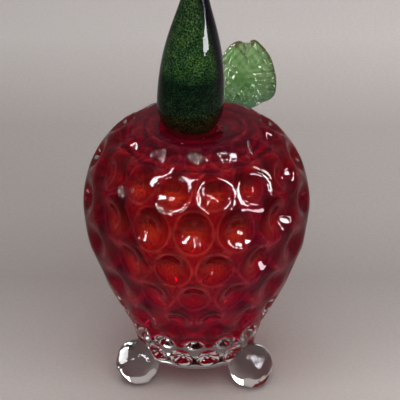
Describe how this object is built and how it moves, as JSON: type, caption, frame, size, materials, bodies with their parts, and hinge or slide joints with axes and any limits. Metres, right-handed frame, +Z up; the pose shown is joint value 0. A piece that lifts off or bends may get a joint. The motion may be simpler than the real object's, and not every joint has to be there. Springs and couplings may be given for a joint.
{
  "type": "art glass strawberry",
  "caption": "Hand-blown glass strawberry ornament: a dimpled ruby bubble in clear casing on ball feet, with a drawn green teardrop stem and a crimped pale green leaf.",
  "frame": {"origin": "on the body's axis, at the level of the surface that the feet stand on", "axes": "+Z up along the body's axis, -Y towards the front, where the two front feet are"},
  "size_m": [0.0906, 0.0904, 0.1903],
  "materials": {
    "ruby_glass": "transparent ruby, fire-polished",
    "clear_glass": "clear, fire-polished",
    "stem_green_glass": "dense dark green, finely speckled",
    "leaf_green_glass": "transparent pale green, fire-polished"
  },
  "bodies": {
    "root": {"ruby_bubble": "ruby_glass", "clear_casing": "clear_glass", "stem_casing": "clear_glass", "stem_core": "stem_green_glass", "leaf": "leaf_green_glass", "foot_front_left": "clear_glass", "foot_front_right": "clear_glass", "foot_back": "clear_glass"}
  },
  "joints": []
}
